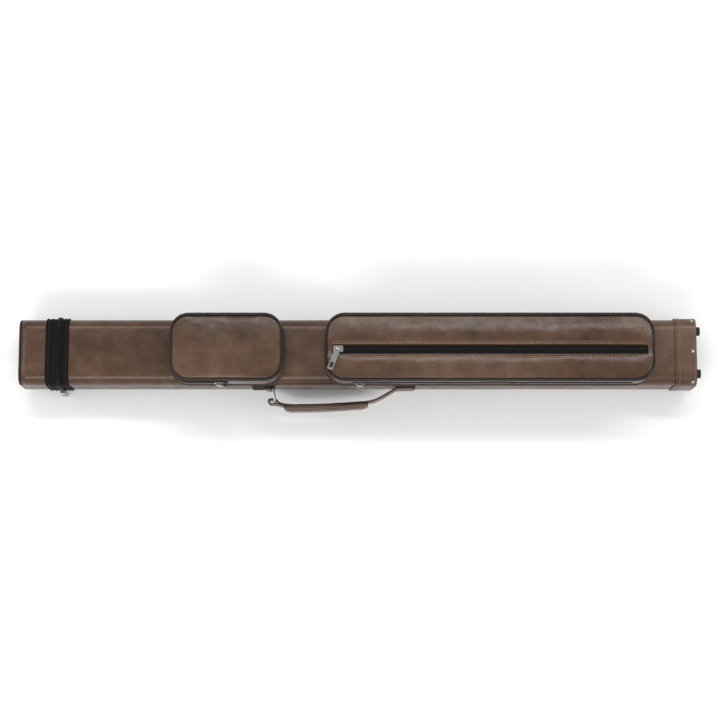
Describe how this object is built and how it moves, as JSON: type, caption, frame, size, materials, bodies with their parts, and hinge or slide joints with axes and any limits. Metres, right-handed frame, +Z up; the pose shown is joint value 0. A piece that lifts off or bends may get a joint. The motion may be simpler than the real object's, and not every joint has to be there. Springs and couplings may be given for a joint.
{
  "type": "cue case",
  "caption": "Hard leather-covered cue case with a zipped hinged lid, zipped accessory pouches, a carrying handle, end feet and a padded shoulder strap.",
  "frame": {"origin": "middle of the bounding box's footprint, on the surface that the case lies on, with its back down", "axes": "+X along the case from the lid to the feet, +Z up through the pouches, -Y on the handle side"},
  "size_m": [0.8254, 0.1134, 0.1107],
  "materials": {
    "leather_brown": "glossy",
    "leather_dark": "satin",
    "webbing_black": "matte",
    "pad_black": "matte",
    "zip_black": "matte",
    "metal_bright": "polished",
    "metal_dark": "satin",
    "shell_board": "matte",
    "foam_grey": "matte",
    "tube_liner": "matte",
    "divider_fabric": "matte",
    "foot_rubber": "matte"
  },
  "bodies": {
    "case": {"body_shell": "shell_board", "shell_corners": "shell_board", "body_leather": "leather_brown", "foam_insert": "foam_grey", "butt_tube_1": "tube_liner", "butt_tube_2": "tube_liner", "shaft_tube_1": "tube_liner", "shaft_tube_2": "tube_liner", "mouth_plate": "tube_liner", "bottom_pad": "foam_grey", "base_plug": "shell_board", "base_sleeve": "leather_brown", "base_feet": "foot_rubber", "foot_screws": "metal_dark", "rivets": "metal_dark", "case_zip": "zip_black", "hinge_tab": "leather_dark", "left_ring": "metal_bright", "right_ring": "metal_bright", "right_tab": "leather_dark", "band_left": "webbing_black", "band_right": "webbing_black", "strap_webbing": "webbing_black", "small_pouch_back": "leather_brown", "small_pouch_gusset": "leather_brown", "small_pouch_front": "leather_brown", "small_pouch_piping": "leather_dark", "small_zip_lower": "zip_black", "large_pouch_back": "leather_brown", "large_pouch_gusset": "leather_brown", "large_pouch_front": "leather_brown", "large_pouch_divider": "divider_fabric", "large_pouch_piping": "leather_dark", "front_zip": "zip_black", "side_zip": "zip_black", "handle_root": "leather_brown", "handle_strap": "leather_brown", "handle_grip": "leather_brown"},
    "lid": {"lid_shell": "shell_board", "lid_leather": "leather_brown", "lid_end_panel": "leather_brown", "lid_piping": "leather_dark", "lid_liner": "foam_grey", "lid_tab": "leather_dark", "lid_zip": "zip_black", "lid_hinge_tab": "leather_dark"},
    "small_flap": {"small_flap": "leather_brown", "small_flap_piping": "leather_dark", "small_zip_upper": "zip_black"},
    "lid_slider": {"lid_slider": "metal_dark"},
    "lid_pull": {"lid_pull": "metal_dark"},
    "small_slider": {"small_slider": "metal_dark"},
    "small_pull": {"small_pull": "metal_dark"},
    "side_slider": {"side_slider": "metal_dark"},
    "side_pull": {"side_pull": "metal_dark"},
    "front_slider": {"front_slider": "metal_dark"},
    "front_pull": {"front_pull": "metal_dark"},
    "handle_ring": {"handle_ring": "metal_bright"},
    "strap_pad": {"strap_pad": "pad_black"},
    "triglide": {"triglide": "metal_bright"}
  },
  "joints": [
    {"name": "lid_hinge", "type": "hinge", "parent": "case", "child": "lid", "pos_m": [-0.364, 0.0142, 0.0048], "axis": [0, -1, 0], "range_deg": [0, 110]},
    {"name": "lid_zip_slide", "type": "slide", "parent": "case", "child": "lid_slider", "axis": [0, 0, 1], "range_m": [0, 0.023]},
    {"name": "lid_pull_swing", "type": "hinge", "parent": "lid_slider", "child": "lid_pull", "pos_m": [-0.364, -0.0316, 0.0275], "axis": [-1, 0, 0], "range_deg": [0, 150]},
    {"name": "small_flap_hinge", "type": "hinge", "parent": "case", "child": "small_flap", "pos_m": [-0.159, 0.0142, 0.1062], "axis": [0, 1, 0], "range_deg": [0, 75]},
    {"name": "small_zip_slide", "type": "slide", "parent": "case", "child": "small_slider", "axis": [-1, 0, 0], "range_m": [0, 0.03]},
    {"name": "small_pull_swing", "type": "hinge", "parent": "small_slider", "child": "small_pull", "pos_m": [-0.168, -0.0306, 0.0955], "axis": [-0.9703, 0, -0.2419], "range_deg": [0, 150]},
    {"name": "side_zip_slide", "type": "slide", "parent": "case", "child": "side_slider", "axis": [1, 0, 0], "range_m": [0, 0.315]},
    {"name": "side_pull_swing", "type": "hinge", "parent": "side_slider", "child": "side_pull", "pos_m": [0, -0.0304, 0.0885], "axis": [-1, 0, 0], "range_deg": [0, 150]},
    {"name": "front_zip_slide", "type": "slide", "parent": "case", "child": "front_slider", "axis": [1, 0, 0], "range_m": [0, 0.362]},
    {"name": "front_pull_swing", "type": "hinge", "parent": "front_slider", "child": "front_pull", "pos_m": [-0.026, 0.0112, 0.1091], "axis": [-0.9272, 0.3746, 0], "range_deg": [0, 150]},
    {"name": "handle_ring_swing", "type": "hinge", "parent": "case", "child": "handle_ring", "pos_m": [-0.106, -0.0284, 0.0395], "axis": [0, 0, 1], "range_deg": [-18, 0]},
    {"name": "pad_slide", "type": "slide", "parent": "case", "child": "strap_pad", "axis": [1, 0, 0], "range_m": [-0.13, 0.02]},
    {"name": "triglide_slide", "type": "slide", "parent": "case", "child": "triglide", "axis": [1, 0, 0], "range_m": [-0.045, 0.2]}
  ]
}
